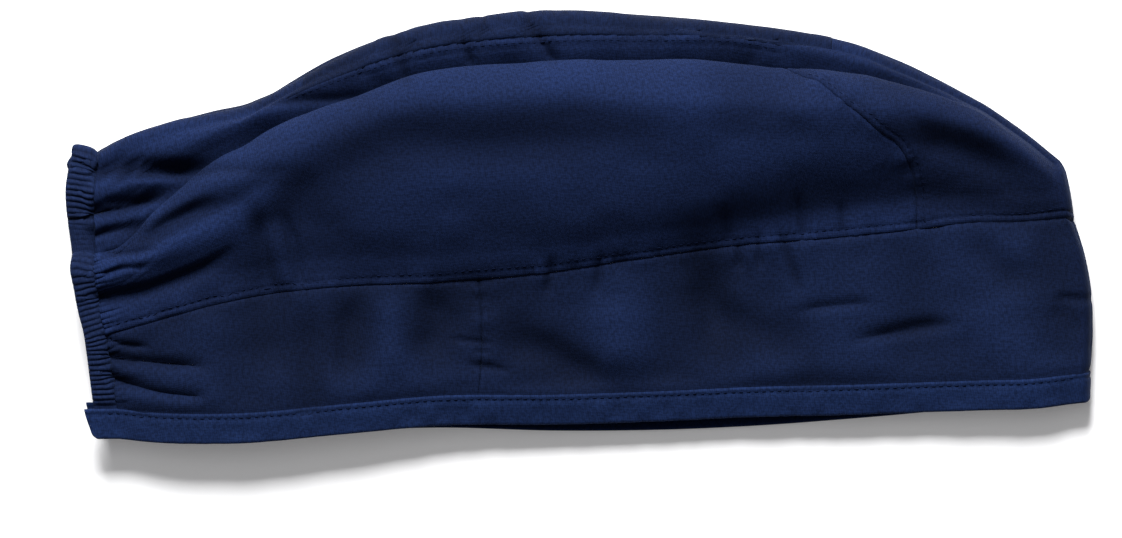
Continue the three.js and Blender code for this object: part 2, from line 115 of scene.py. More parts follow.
# The height of the upper layer above the floor at the same sections.
HEIGHT_COLUMNS = ("along", "rim", "seam", "bulge", "dip", "crest", "ridge", "tuck", "strip", "top")
HEIGHTS = np.array([
    (0, 9.5, 12.5, 12.5, 13, 13.5, 11.3, 8.8, 9, 7),
    (0.03, 10.5, 13, 13.4, 14.8, 15, 12.3, 9, 9.5, 7),
    (0.07, 11.5, 13.5, 14.2, 17, 17.5, 14, 9, 10.5, 7.2),
    (0.12, 11.5, 14, 15.8, 18.6, 19.5, 14.5, 8.5, 11, 8),
    (0.18, 11.5, 14, 16.8, 20, 22, 15.5, 8, 10.8, 9),
    (0.25, 10.5, 13.5, 17.8, 21.8, 24, 17, 8.2, 12, 10.2),
    (0.34, 8.5, 13.2, 19.4, 24.4, 26.5, 18.5, 8.8, 12.6, 11),
    (0.45, 7, 13, 21.4, 26.2, 28, 19.5, 9.2, 13.2, 11.5),
    (0.56, 6.5, 12.5, 21.6, 26.5, 28.5, 19.5, 9.2, 13.2, 11.5),
    (0.66, 6.5, 11.8, 19.4, 25.8, 28, 19.5, 9.2, 12.8, 11.2),
    (0.75, 6.8, 11.8, 16.6, 23.6, 26.5, 18.5, 9, 12.2, 10.4),
    (0.83, 7.2, 11, 14.6, 20.6, 24, 17.5, 10.5, 11.4, 9.2),
    (0.9, 7.8, 10, 13.2, 16.6, 20, 15.5, 12, 9.8, 7.4),
    (0.95, 8, 9.4, 11.8, 13.8, 15.5, 12.5, 10.2, 8.2, 6.2),
    (1, 7.5, 8.6, 9.4, 9.8, 9.5, 8.2, 7.2, 6.2, 5),
])

# Where the seam between a side panel and the centre panel ends each line.
CENTRE_COLUMNS = ("across", "along")
CENTRE_SEAM = np.array([
    (2, 0.845),
    (3, 0.846),
    (3.8, 0.834),
    (4.3, 0.81),
    (5, 0.781),
    (5.5, 0.755),
    (6, 0.719),
    (7, 0.705),
    (8, 0.712),
    (9, 0.765),
])

# Folds of the upper layer, each a bowed line in plan: where it runs from and to, how far its middle stands
# to the left of the straight way, its rise, and its width on its left and right. Casing folds start at
# their full size at the casing; inner folds die out at both ends.
FOLD_COLUMNS = ("fold", "from_x", "from_y", "to_x", "to_y", "bow", "rise", "above", "below")
CASING_FOLDS = [
    ("back valley", -134, 14.4, -98, 14, 1, -3.2, 2.9, 1.4),
    ("upper lobe", -130, 18.5, -68.4, 34, 1.8, 2, 2.2, 5.5),
    ("middle lobe", -134, 9.5, -107, 11.9, 2.2, 1.7, 1.6, 2.6),
    ("lobe crease", -134, 3.2, -110.5, 8.8, -0.4, -2.7, 2.2, 1),
    ("lower lobe", -134, 1, -111, 9.2, -2.6, 1.7, 1, 2.2),
    ("bright swell", -130, -11.8, -71, 19, -3.2, 1.5, 3, 5),
    ("long crease", -134, -19.4, -92, -3.6, -3, -2.4, 1.2, 3),
    ("band crease upper", -129, -35.4, -99, -38, -0.5, -2.1, 2, 1.5),
    ("band crease lower", -129, -40.4, -99, -45.8, -2, -2.4, 2.1, 1.3),
]
INNER_FOLDS = [
    ("ridge hollow", -124, -7.5, -96, 8.3, 2, -2.2, 2, 2.8),
    ("front crease upper", 56, -23.1, 83, -20.6, 0.6, -1.1, 1.8, 1.4),
    ("front crease lower", 71, -31.5, 106, -25.6, 0.4, -1.9, 2.4, 1.6),
    ("side valley", 14, -9, 104, 8, 6, -2, 7, 6),
    ("front hollow", 82, 25.5, 124, 8, 4.8, -2.2, 5, 5),
    ("band hollow back", -62.3, -17, -64.3, -45, 0, -1.4, 4.2, 4.2),
    ("band swell back", -51.9, -16, -50.6, -43, 0, 1.5, 4, 4),
    ("band hollow seam", -38.3, -16, -41, -37, 0, -1.3, 4.5, 4.5),
    ("band hollow middle", -27, -31.5, 4, -45, 4.8, -1.3, 5, 5),
    ("band swell middle", 7, -18, 11, -42, 0, 1.4, 7, 7),
    ("band hollow front", 34.2, -7, 36.5, -34, 0, -1.4, 4, 4),
]

# Smaller creases and tucks, which the CAD part leaves out, in the same form. The rows named shade or light
# are broad, shallow dents and swells. They are there mostly for the painted shade or painted light that
# their rise gives the cloth's colour.
CASING_CREASES = [
    ("casing crease", -129, -30.2, -116, -32.6, -0.6, -1.3, 1.1, 1.1),
    ("lobe dimple", -129, -0.4, -117, 0.8, 0, -2, 2.2, 2.2),
    ("upper tuck", -129, 18.6, -118, 19.4, 0, -0.9, 0.9, 0.7),
    ("middle tuck", -129, 7.4, -113, 7.6, -0.3, -0.9, 1, 0.7),
    ("swell tuck", -129, -7.6, -113, -5.4, -0.6, -1.6, 1.1, 0.9),
    ("swell crease", -129, -12.4, -116, -11, 0.8, -1.2, 1, 0.8),
]
INNER_CREASES = [
    ("side fold dark", -89.5, 9, -84.5, -22, 0.6, -1.7, 2.4, 2.6),
    ("side fold light", -84.8, 4, -79.5, -21, 0.4, 0.7, 2.6, 2.6),
    ("side fold thin", -80.5, 6, -75, -21, 0.4, -1.7, 1.8, 1.8),
    ("side tuck back", 38.6, 8, 41.2, -7, 0, -1.2, 1.8, 1.8),
    ("side tuck middle", 58.3, 12, 61.9, -6, 0, -1.2, 1.6, 1.6),
    ("side tuck front", 70.8, 8.5, 72, -4.5, 0, -1, 1.4, 1.4),
    ("strip tuck back", -52, 54, -46, 36, 0, -1.6, 2, 1.8),
    ("strip tuck middle", -33.5, 55, -28.5, 42, 0, -1.5, 1.6, 1.6),
    ("strip tuck front", -15, 57, -5, 43, 0, -1.7, 2, 2),
    ("top tuck back", -53, 53, -43, 48, 0, -0.9, 1, 1),
    ("top tuck middle", -25.5, 59, -27.6, 49.5, 0, -0.9, 1, 1),
    ("top tuck front", -13, 60, -15.4, 51, 0, -0.9, 1, 1),
    ("seam tuck back", -7.7, -6, -9, -20, 0, -1.1, 1.4, 1.4),
    ("seam tuck middle", 5.8, -5, 4.4, -20, 0, -1.1, 1.4, 1.4),
    ("seam tuck front", 42.8, -2, 43.6, -13, 0, -1.1, 1.4, 1.4),
    ("seam tuck thin", 48.7, 1, 48.9, -13, 0, -0.9, 1.1, 1.1),
    ("seam tuck slanted", 53.8, 1, 61, -21, 0, -1.3, 1.6, 1.4),
    ("join pucker upper", -37, -30.2, -22, -32, 0, -0.8, 0.9, 0.7),
    ("join pucker middle", -30, -33.6, -23, -34.2, 0, -0.6, 0.8, 0.6),
    ("join pucker lower", -31.5, -37.4, -18, -39.6, 0.4, -0.8, 0.9, 0.7),
    ("band shade end", -86, -8, -84, -44, 0, -2.2, 6, 6),
    ("band shade low", -74, -18, -73, -58, 0, -1.6, 5, 5),
    ("band shade back", -61, -8, -64, -48, 0, -1.3, 6, 5),
    ("band shade join", -36, -6, -41, -47, 0, -1.5, 7, 6),
    ("band shade middle", -36, -28, 20, -48, 3, -0.8, 5, 5),
    ("band light middle", 9, -8, 14, -46, 0, 0.9, 8, 8),
    ("band shade front", 32.5, 6, 41, -44, -1, -1.9, 5, 6),
    ("band shade corner", 26, -16, 62, -36, 0, -1.1, 5, 5),
    ("ridge shade", -88, 21, 34, 27, 0, -2.5, 8, 8),
    ("front shade", 80, 9, 140, 2, 2, -1.9, 7, 7),
    ("swell shade", -130, -8, -108, -2, 0, -1.3, 2.4, 2.4),
    ("hollow shade", -118, -2, -82, 10, 0, -1.5, 4, 4),
    ("band shade casing", -138, -36, -74, -34, 0, -0.9, 12, 12),
    ("band shade low front", 56, -20, 66, -50, 0, -1.1, 7, 6),
    ("band light forehead", 108, -14, 128, -52, 0, 1, 9, 7),
    ("band shade right", 102, 2, 124, -22, 0, -1, 5, 5),
    ("side shade", -82, 24, -60, -18, -4, -1.6, 9, 9),
    ("valley shade", -98, -8, -44, 22, 2, -1.6, 7, 8),
    ("low shade", -110, -12, -30, -10, 0, -1.2, 8, 6),
    ("lobe edge", -97, 32.6, -54, 35.6, 0.4, -1.1, 1.8, 1.3),
    ("valley dark", -144, 13.4, -78, 15.4, 0.6, -1.3, 2.6, 1.6),
    ("band shade forehead", 128, -20, 138, -30, 0, -0.8, 3.5, 3.5),
    ("front nick", 128, -18.9, 141, -20, 0, -1, 1, 1),
]


def mix(a, b, part):
    return a + (b - a) * part


def through(rows, columns, name, at):
    """A smooth curve through a table's rows: one column as it changes with the first."""
    x = rows[:, 0]
    y = rows[:, columns.index(name)]
    slopes = np.empty_like(y)
    slopes[1:-1] = (y[2:] - y[:-2]) / (x[2:] - x[:-2])
    slopes[0] = (y[1] - y[0]) / (x[1] - x[0])
    slopes[-1] = (y[-1] - y[-2]) / (x[-1] - x[-2])
    place = np.clip(at, x[0], x[-1])
    i = np.clip(np.searchsorted(x, place, side="right") - 1, 0, len(x) - 2)
    run = x[i + 1] - x[i]
    t = (place - x[i]) / run
    ease = t * t * (3 - 2 * t)
    leave = t * (1 - t) ** 2 * run * slopes[i]
    arrive = t * t * (t - 1) * run * slopes[i + 1]
    return mix(y[i], y[i + 1], ease) + leave + arrive


def key(name):
    return KEYS[:, KEY_COLUMNS.index(name)]


def gap(start, end):
    return np.linalg.norm(end - start, axis=-1, keepdims=True)


def through_points(points, at):
    """A smooth curve through points[k], whose slopes allow for the different lengths between them."""
    last = len(points) - 1
    i = np.floor(np.clip(at, 0, last - 1e-9)).astype(int)
    t = (at - i)[..., None]
    a, b, c, d = (
        np.take_along_axis(points, np.clip(i + k, 0, last)[None, ..., None], 0)[0] for k in (-1, 0, 1, 2)
    )
    leaving = t * (1 - t) ** 2 * gap(b, c) / (gap(a, b) + gap(b, c))
    arriving = t * t * (t - 1) * gap(b, c) / (gap(b, c) + gap(c, d))
    return mix(b, c, t * t * (3 - 2 * t)) + leaving * (c - a) + arriving * (d - b)


def fold_reach(height):
    """How far a fold between the layers stands out past them, for layers this far apart."""
    return FOLD_FULLNESS * (height - CAD_CLOTH / 2) / 2


BULGE_AT = 0.36
DIP_AT = 0.73
HEM_SHARE = 0.2
HEM_LIFT = 0.6


def crossings(along):
    """Where a section crosses the ten lines of the upper layer: their y and z."""
    y = {name: through(PLAN, PLAN_COLUMNS, name, along) for name in PLAN_COLUMNS[1:]}
    z = {name: through(HEIGHTS, HEIGHT_COLUMNS, name, along) for name in HEIGHT_COLUMNS[1:]}
    ys = [
        y["rim"],
        y["rim"] + BINDING_WIDTH,
        y["seam"],
        mix(y["seam"], y["crest"], BULGE_AT),
        mix(y["seam"], y["crest"], DIP_AT),
        y["crest"],
        y["ridge"],
        y["tuck"],
        y["strip"],
        y["top"] - fold_reach(z["top"]),
    ]
    hem = mix(z["rim"], z["seam"], HEM_SHARE) + HEM_LIFT
    zs = [z["rim"], hem] + [z[name] for name in HEIGHT_COLUMNS[2:]]
    return np.stack(ys), np.stack(zs)


FRONT_REACHES = fold_reach(crossings(np.ones(1))[1][:, 0])


def section_points(along):
    """The ten points where a section crosses the lines of the upper layer."""
    ys, zs = crossings(np.clip(along, 0, 1))
    lines = (slice(None),) + (None,) * along.ndim
    casing, back, front = (key(name)[lines] for name in ("casing", "back", "front"))
    on_panel = mix(back, front - FRONT_REACHES[lines], along)
    xs = np.where(along < 0, mix(back, casing, along / CASING_ALONG), on_panel)
    return np.stack([xs, ys, zs], -1)


FOLD_PLACES = 8
FOLD_END = 0.35


def fold_line(fold):
    """The places that a fold's line runs through."""
    run_x = fold["to_x"] - fold["from_x"]
    run_y = fold["to_y"] - fold["from_y"]
    part = np.linspace(0, 1, FOLD_PLACES + 1)
    off = 4 * fold["bow"] * part * (1 - part) / math.hypot(run_x, run_y)
    x = fold["from_x"] + run_x * part - off * run_y
    y = fold["from_y"] + run_y * part + off * run_x
    return list(zip(x, y))


def beside_line(line, x, y):
    """How far along a line, from 0 to 1, the nearest place is, and how far to its left."""
    best_along = np.zeros_like(x)
    best_left = np.full_like(x, np.inf)
    for i, ((x0, y0), (x1, y1)) in enumerate(zip(line, line[1:])):
        dx, dy = x1 - x0, y1 - y0
        part = np.clip(((x - x0) * dx + (y - y0) * dy) / (dx * dx + dy * dy), 0, 1)
        off = np.hypot(x - x0 - part * dx, y - y0 - part * dy)
        side = np.where(dx * (y - y0) - dy * (x - x0) < 0, -1.0, 1.0)
        nearer = off < np.abs(best_left)
        best_along = np.where(nearer, (i + part) / (len(line) - 1), best_along)
        best_left = np.where(nearer, side * off, best_left)
    return best_along, best_left


def eased(part):
    part = np.clip(part, 0, 1)
    return part * part * (3 - 2 * part)


def bell(away, width):
    return np.exp(-((away / width) ** 2))


def folds_at(folds, at_casing, x, y):
    total = np.zeros_like(x)
    for row in folds:
        fold = dict(zip(FOLD_COLUMNS, row))
        along, left = beside_line(fold_line(fold), x, y)
        begun = 1.0 if at_casing else eased(along / FOLD_END)
        size = fold["rise"] * begun * eased((1 - along) / FOLD_END)
        total += size * bell(left, np.where(left > 0, fold["above"], fold["below"]))
    return total


def fold_rise(x, y):
    from_casing = folds_at(CASING_FOLDS + CASING_CREASES, True, x, y)
    return from_casing + folds_at(INNER_FOLDS + INNER_CREASES, False, x, y)


ROLL_MIDDLE = 6.5
ROLL_REACH = 1.05
ROLL_FADE = 0.55
ROLL_START = 0.08


def rolled(along, across):
    """How much of a place belongs to the ridge's rolled side, which the folds leave smooth."""
    inside = np.clip((ROLL_REACH - np.abs(across - ROLL_MIDDLE)) / ROLL_FADE, 0, 1)
    return inside * np.clip(along / ROLL_START, 0, 1)


# The panels' folds are pressed nearly flat on the casing, and the casing's top end slants.
CASING_FLATNESS = 0.8
CASING_EASE = 0.012
CASING_SLANT = 1.9
SLANT_FROM = 5


def upper(along, across):
    """The cloth's middle on the upper layer."""
    x, y, z = np.moveaxis(through_points(section_points(along), across), -1, 0)
    band_part = np.clip(across - HEM, 0, 1)
    x = x + 4 * BAND_FRONT_BOW * band_part * (1 - band_part) * np.clip(along, 0, 1)
    folded = (1 - rolled(along, across)) * (1 - CASING_FLATNESS * eased(-along / CASING_EASE))
    z = z + fold_rise(x, y) * folded
    outward = np.clip(along / CASING_ALONG, 0, 1)
    y = y + CASING_SLANT * outward * eased((across - SLANT_FROM) / (TOP - SLANT_FROM))
    return np.stack([x, y, z], -1)


LOWER_SEAM_DROP = 1.5


def lower(along, across, thickness=CLOTH):
    """The cloth's middle on the lower layer, which lies flat on the floor."""
    at = np.clip(along, 0, 1)
    edge = upper(along, np.full_like(across, TOP))[..., 1]
    rim = through(PLAN, PLAN_COLUMNS, "lower_rim", at)
    seam = through(PLAN, PLAN_COLUMNS, "seam", at) - LOWER_SEAM_DROP
    share = np.interp(across, np.arange(len(KEYS)), key("share"))
    band = mix(rim + BINDING_WIDTH, seam, across - HEM)
    y = np.where(across <= HEM, rim + BINDING_WIDTH * across, band)
    y = np.where(across < SEAM, y, mix(seam, edge, share))
    x = upper(along, across)[..., 0]
    return np.stack([x, y, np.full_like(x, thickness / 2)], -1)


def turn(along, across, part, facing, thickness=CLOTH):
    """The rounded turn from the upper to the lower layer, outward at `facing` degrees from +X."""
    above = upper(along, across)
    below = lower(along, across, thickness)
    middle = (above + below) / 2
    reach = FOLD_FULLNESS * np.linalg.norm(above - below, axis=-1) / 2
    angle = part * math.pi
    facing = np.radians(facing)
    outward = np.stack([np.cos(facing), np.sin(facing), np.zeros_like(facing)], -1)
    upright = (above - middle) * np.cos(angle)[..., None]
    return middle + upright + outward * (reach * np.sin(angle))[..., None]


# The top's turn faces +Y and the forehead's +X, and they come together at their corner.
CORNER_FACING = 40.0
CORNER_ALONG = 0.9
CORNER_LENGTH = 0.1
CORNER_ACROSS = 5


def top_facing(along):
    return mix(90.0, CORNER_FACING, np.clip((along - CORNER_ALONG) / CORNER_LENGTH, 0, 1))


def front_facing(across):
    return mix(0.0, CORNER_FACING, np.clip((across - CORNER_ACROSS) / (TOP - CORNER_ACROSS), 0, 1))


def band_join(across):
    return mix(JOIN_AT_HEM, JOIN_AT_SEAM, across - HEM)


def seam_end(across):
    return through(CENTRE_SEAM, CENTRE_COLUMNS, "along", across)


# How far up the cloth each place is from the rim, measured along the upper layer.
ARC_ALONG = np.linspace(0, 1, 81)
ARC_ACROSS = np.linspace(0, TOP, 361)


def arc_table():
    along, across = np.meshgrid(ARC_ALONG, ARC_ACROSS, indexing="ij")
    points = upper(along, across)
    steps = np.linalg.norm(np.diff(points[..., 1:], axis=1), axis=-1)
    return np.concatenate([np.zeros((len(ARC_ALONG), 1)), np.cumsum(steps, 1)], 1)


ARC = arc_table()


def arc_length(along, across):
    i = np.clip(along, 0, 1) * (len(ARC_ALONG) - 1)
    j = np.clip(across, 0, TOP) / TOP * (len(ARC_ACROSS) - 1)
    i0 = np.clip(np.floor(i).astype(int), 0, len(ARC_ALONG) - 2)
    j0 = np.clip(np.floor(j).astype(int), 0, len(ARC_ACROSS) - 2)
    a, b = i - i0, j - j0
    near = mix(ARC[i0, j0], ARC[i0, j0 + 1], b)
    far = mix(ARC[i0 + 1, j0], ARC[i0 + 1, j0 + 1], b)
    return mix(near, far, a)


# A piece of cloth is made from grids: points, and for each point the facts that its details need. Its side
# runs from 0 on the upper layer to 1 on the lower, and u and v are its place in the weave.
FACTS = ("along", "across", "side", "u", "v")
RIM_Y = -58
TOP_TURN_LENGTH = 5


def grid(points, facts, flip=False):
    return {"points": points, "facts": np.stack(np.broadcast_arrays(*facts), -1), "flip": flip}


def upper_grid(along, across):
    points = upper(along, across)
    return grid(points, (along, across, 0.0, points[..., 0], arc_length(along, across)))


def lower_grid(along, across, thickness=CLOTH):
    points = lower(along, across, thickness)
    end = upper(np.ones_like(across), across)
    reach = FOLD_FULLNESS * end[..., 2] / 2
    u = 2 * end[..., 0] + math.pi * reach - points[..., 0]
    return grid(points, (along, across, 1.0, u, points[..., 1] - RIM_Y), flip=True)


def top_turn_grid(along, part, thickness=CLOTH):
    across = np.full_like(along, TOP)
    points = turn(along, across, part, top_facing(along), thickness)
    edge = upper(along, across)
    v = arc_length(along, across) + part * TOP_TURN_LENGTH
    return grid(points, (along, across, part, edge[..., 0], v))


def front_turn_grid(part, across, thickness=CLOTH):
    along = np.ones_like(across)
    points = turn(along, across, part, front_facing(across), thickness)
    edge = upper(along, across)
    u = edge[..., 0] + part * math.pi * FOLD_FULLNESS * edge[..., 2] / 2
    v = mix(arc_length(along, across), lower(along, across, thickness)[..., 1] - RIM_Y, part)
    return grid(points, (along, across, part, u, v))


def spaced(low, high, step):
    return np.linspace(low, high, max(int(math.ceil(abs(high - low) / step)), 1) + 1)


def crown_lines(low, high, step):
    """Lines between two keys, about `step` millimetres apart along the cloth at mid length."""
    arc = arc_length(np.full(2, 0.5), np.array([low, high], float))
    lengths = np.linspace(arc[0], arc[1], max(int((arc[1] - arc[0]) / step), 2) + 1)
    dense = np.linspace(low, high, 400)
    return np.interp(lengths, arc_length(np.full(400, 0.5), dense), dense)


def mesh_grid(columns, rows):
    return np.meshgrid(np.asarray(columns, float), np.asarray(rows, float))


# Sheets: joined grids, displaced, thickened and closed.
MERGE_SIZE = 0.002
FLOOR_GAP = 0.02


def joined(grids):
    points, facts, faces = [], [], []
    start = 0
    for part in grids:
        rows, columns = part["points"].shape[:2]
        ids = np.arange(rows * columns).reshape(rows, columns) + start
        quads = np.stack([ids[:-1, :-1], ids[:-1, 1:], ids[1:, 1:], ids[1:, :-1]], -1).reshape(-1, 4)
        faces.append(quads[:, ::-1] if part["flip"] else quads)
        points.append(part["points"].reshape(-1, 3))
        facts.append(part["facts"].reshape(-1, len(FACTS)))
        start += rows * columns
    points = np.concatenate(points)
    facts = np.concatenate(facts)
    cells = np.round(points / MERGE_SIZE).astype(np.int64)
    _, first, inverse = np.unique(cells, axis=0, return_index=True, return_inverse=True)
    return points[first], dict(zip(FACTS, facts[first].T)), inverse.reshape(-1)[np.concatenate(faces)]


def unit(vectors):
    return vectors / np.maximum(np.linalg.norm(vectors, axis=1, keepdims=True), 1e-12)


def point_normals(points, faces):
    diagonal_a = points[faces[:, 2]] - points[faces[:, 0]]
    diagonal_b = points[faces[:, 3]] - points[faces[:, 1]]
    face_normals = np.cross(diagonal_a, diagonal_b)
    normals = np.zeros_like(points)
    for corner in range(4):
        np.add.at(normals, faces[:, corner], face_normals)
    return unit(normals)


def open_edges(faces):
    """The sheet's edges, as pairs of points with the sheet on their left."""
    pairs = np.concatenate([faces[:, [k, (k + 1) % 4]] for k in range(4)])
    pairs = pairs[pairs[:, 0] != pairs[:, 1]]
    size = faces.max() + 1
    forward = pairs[:, 0] * size + pairs[:, 1]
    backward = pairs[:, 1] * size + pairs[:, 0]
    return pairs[~np.isin(forward, backward)]


def lapped(points, edges, normals):
    """Lets the sheet's edges out a little, so that no light shows through a seam."""
    inward = unit(np.cross(normals[edges[:, 0]], points[edges[:, 1]] - points[edges[:, 0]]))
    moves = np.zeros_like(points)
    np.add.at(moves, edges[:, 0], inward)
    np.add.at(moves, edges[:, 1], inward)
    return points - unit(moves) * SEAM_LAP / 2


def new_mesh(name, points, faces, uv, painted_shading):
    mesh = bpy.data.meshes.new(name)
    mesh.vertices.add(len(points))
    mesh.vertices.foreach_set("co", (points * MM).astype(np.float32).ravel())
    mesh.loops.add(faces.size)
    mesh.loops.foreach_set("vertex_index", faces.astype(np.int32).ravel())
    mesh.polygons.add(len(faces))
    mesh.polygons.foreach_set("loop_start", np.arange(0, faces.size, 4, dtype=np.int32))
    mesh.update(calc_edges=True)
    layer = mesh.uv_layers.new(name="weave")
    layer.uv.foreach_set("vector", (uv[faces.ravel()] * MM).astype(np.float32).ravel())
    # Painted shade and light for each point, which the cloth materials read: darker in creases, lighter on
    # folds.
    mesh.attributes.new("painted_shading", "FLOAT", "POINT").data.foreach_set("value", painted_shading.astype(np.float32))
    mesh.validate()
    mesh.shade_smooth()
    return mesh


def add_object(name, data):
    made = bpy.data.objects.new(name, data)
    bpy.context.scene.collection.objects.link(made)
    return made


def on_plan(points):
    return points - np.array([PLAN_CENTRE[0], PLAN_CENTRE[1], 0])


# Painted shade and light: the colour is darker where the cloth lies low in creases and rib grooves, and
# lighter where it rises on folds and ribs. These are the rises in millimetres over which it changes.
SHADING_HEIGHT = 1.3
RIB_SHADING_HEIGHT = 0.4


def shading_from_rise(rise, height):
    """Painted shade and light for the cloth's colour, from 0 in its creases to 1 on its folds."""
    return 0.5 + 0.5 * np.tanh(rise / height)


def sheet_piece(name, node, grids, detail, material, thickness=CLOTH, ribbed=False):
    """A closed sheet of cloth. `detail` gives each point's rise along the normal and thickness share.

    A ribbed sheet is thicker than its ribs are wide, so its two sides stand off from the smooth surface.
    """
    points, facts, faces = joined(grids)
    normals = point_normals(points, faces)
    edges = open_edges(faces)
    points = lapped(points, edges, normals)
    rise, share = detail(points, facts)
    # Painted shade in the creases and rib grooves and painted light on the folds and ribs, kept on the
    # mesh.
    if ribbed:
        painted_shading = shading_from_rise(rise, RIB_SHADING_HEIGHT)
    else:
        painted_shading = shading_from_rise(rise + fold_rise(points[:, 0], points[:, 1]) * (facts["side"] < 0.5), SHADING_HEIGHT)
    points = points + normals * rise[:, None]
    if not ribbed:
        normals = point_normals(points, faces)
    half = (thickness / 2 * share)[:, None]
    sides = np.concatenate([points + normals * half, points - normals * half])
    sides[:, 2] = np.maximum(sides[:, 2], FLOOR_GAP)
    count = len(points)
    walls = np.stack([edges[:, 1], edges[:, 0], edges[:, 0] + count, edges[:, 1] + count], -1)
    quads = np.concatenate([faces, faces[:, ::-1] + count, walls])
    weave = np.stack([facts["u"], facts["v"]], -1)
    mesh = new_mesh(name, on_plan(sides), quads, np.tile(weave, (2, 1)), np.tile(painted_shading, 2))
    mesh.materials.append(material)
    piece = add_object(name, mesh)
    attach(piece, "root")
    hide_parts(node)
    return piece


# Noise that is smooth, seeded and the same on every run.
LATTICE_SIZE = 97
LATTICE = (LATTICE_SIZE, LATTICE_SIZE)
WRINKLES = [np.random.default_rng(seed).uniform(-1, 1, LATTICE) for seed in range(40, 52)]


def noise(number, x, y):
    """One of the fields above, from -1 to 1, changing over about one unit of x and y."""
    field = WRINKLES[number]
    x0, y0 = np.floor(x).astype(int), np.floor(y).astype(int)
    tx, ty = x - x0, y - y0
    tx = tx * tx * tx * (tx * (tx * 6 - 15) + 10)
    ty = ty * ty * ty * (ty * (ty * 6 - 15) + 10)
    left, low = x0 % LATTICE_SIZE, y0 % LATTICE_SIZE
    right, high = (x0 + 1) % LATTICE_SIZE, (y0 + 1) % LATTICE_SIZE
    near = mix(field[left, low], field[right, low], tx)
    return mix(near, mix(field[left, high], field[right, high], tx), ty)


# Seam lines, as polylines on the cloth's middle surface, with the way along each.
def places(points, lengths, at):
    return np.stack([np.interp(at, lengths, points[:, k]) for k in range(3)], -1)


def polyline(points, step=0.6):
    lengths = np.concatenate([[0], np.cumsum(np.linalg.norm(np.diff(points, axis=0), axis=1))])
    at = np.arange(0, lengths[-1], step)
    return places(points, lengths, at), at


def on_line(along, line):
    """Places on the upper layer along one of its lines."""
    return upper(along, np.full_like(along, line))


def crossing(layer, seam, low, high, count):
    """Places on a layer along a seam that crosses its lines."""
    across = np.linspace(low, high, count)
    return layer(seam(across), across)


def band_seam():
    along = np.linspace(0, 1, 300)
    part = np.linspace(0, 1, 20)[1:-1]
    fold = turn(np.ones_like(part), np.full_like(part, SEAM), part, np.zeros_like(part))
    under = lower(along[::-1], np.full_like(along, SEAM))
    return np.concatenate([on_line(along, SEAM), fold, under])


LINES = {
    "band": polyline(band_seam()),
    "centre": polyline(crossing(upper, seam_end, SEAM, TUCK, 300)[::-1]),
    "far": polyline(on_line(np.linspace(STRIP_START, seam_end(STRIP), 300), STRIP)),
    "under": polyline(crossing(lower, seam_end, SEAM, TOP, 200)),
    "join": polyline(crossing(upper, band_join, HEM, SEAM, 80)),
    "join_under": polyline(crossing(lower, band_join, HEM, SEAM, 80)),
}


def nearest(line, points):
    """How far each point is from a seam line, and how far along it."""
    places_on_line, lengths = LINES[line]
    tree = KDTree(len(lengths))
    for i, point in enumerate(places_on_line):
        tree.insert(point, i)
    tree.balance()
    found = np.array([tree.find(point)[1:] for point in points])
    return found[:, 1], lengths[found[:, 0].astype(int)]


STITCH_PITCH = 2.1
STITCH_OFF = 2.0
HEM_STITCH_OFF = 1.4
FAR_STITCH_SHARE = 0.11
FAR_STITCH_START = 0.206

# A seam lies in a ditch. Its allowance lifts the cloth beside it, and its stitches press a groove.
DITCH_DEPTH = 0.5
DITCH_WIDTH = 0.5
ALLOWANCE_RISE = 0.3
ALLOWANCE_REACH = 9.0
ALLOWANCE_FADE = 4.0
ALLOWANCE_START = 0.9
GROOVE_DEPTH = 0.42
GROOVE_WIDTH = 0.6


def seam_shape(points, line, stitched, number, pucker=0.4):
    """The rise of the cloth beside a seam: a ditch, the allowance's ridge, the stitch line, puckers."""
    away, at = nearest(line, points)
    rise = -DITCH_DEPTH * bell(away, DITCH_WIDTH)
    rise += pucker * noise(number, at / 4.2 + 7, away / 9) * np.exp(-away / 5)
    rise += 0.6 * pucker * noise(number + 1, at / 2.3, away / 6 + 3) * np.exp(-away / 3)
    if not stitched:
        return rise
    lifted = eased((ALLOWANCE_REACH - away) / ALLOWANCE_FADE) * (1 - bell(away, ALLOWANCE_START))
    dimple = 0.75 + 0.25 * np.cos(2 * math.pi * at / STITCH_PITCH)
    groove = dimple * bell(away - STITCH_OFF, GROOVE_WIDTH)
    return rise + ALLOWANCE_RISE * lifted - GROOVE_DEPTH * groove


RIB_PITCH = 1.4
UNDER_SHIFT = 37


def gathers(facts):
    """Creases that start at the elastic casing and die out along the panels, the finest first."""
    away = np.maximum(facts["along"], 0) * LENGTH
    place = arc_length(np.zeros_like(away), facts["across"])
    place = np.where(facts["side"] > 0.5, place + UNDER_SHIFT, place)
    ribs = np.cos(2 * math.pi * (place / RIB_PITCH + 0.5 * noise(0, place / 4, away / 6)))
    sharp = np.abs(noise(2, place / 1.9, away / 16)) ** 0.7 - 0.45
    rise = 0.3 * ribs * np.exp(-away / 3) + 0.85 * sharp * np.exp(-away / 8)
    rise += 0.45 * noise(3, place / 3.4, away / 30 + 5) * np.exp(-away / 15)
    return rise + 0.3 * noise(4, place / 7.0, away / 50 + 9) * np.exp(-away / 36)


def loose_cloth(points, facts):
    """Soft wrinkles, from broad to tiny, and the gathers beside the casing."""
    x, y = points[:, 0], points[:, 1]
    rise = 0.7 * noise(5, x / 23, y / 15) + 0.22 * noise(6, x / 8.5, y / 6.5)
    return rise + 0.035 * noise(7, x / 2.6, y / 2.2) + gathers(facts)


def upper_only(facts, values, under=0.25):
    """Details at full size on the upper layer, and pressed flat where the cap lies on the floor."""
    return values * np.where(facts["side"] < 0.5, 1.0, under)


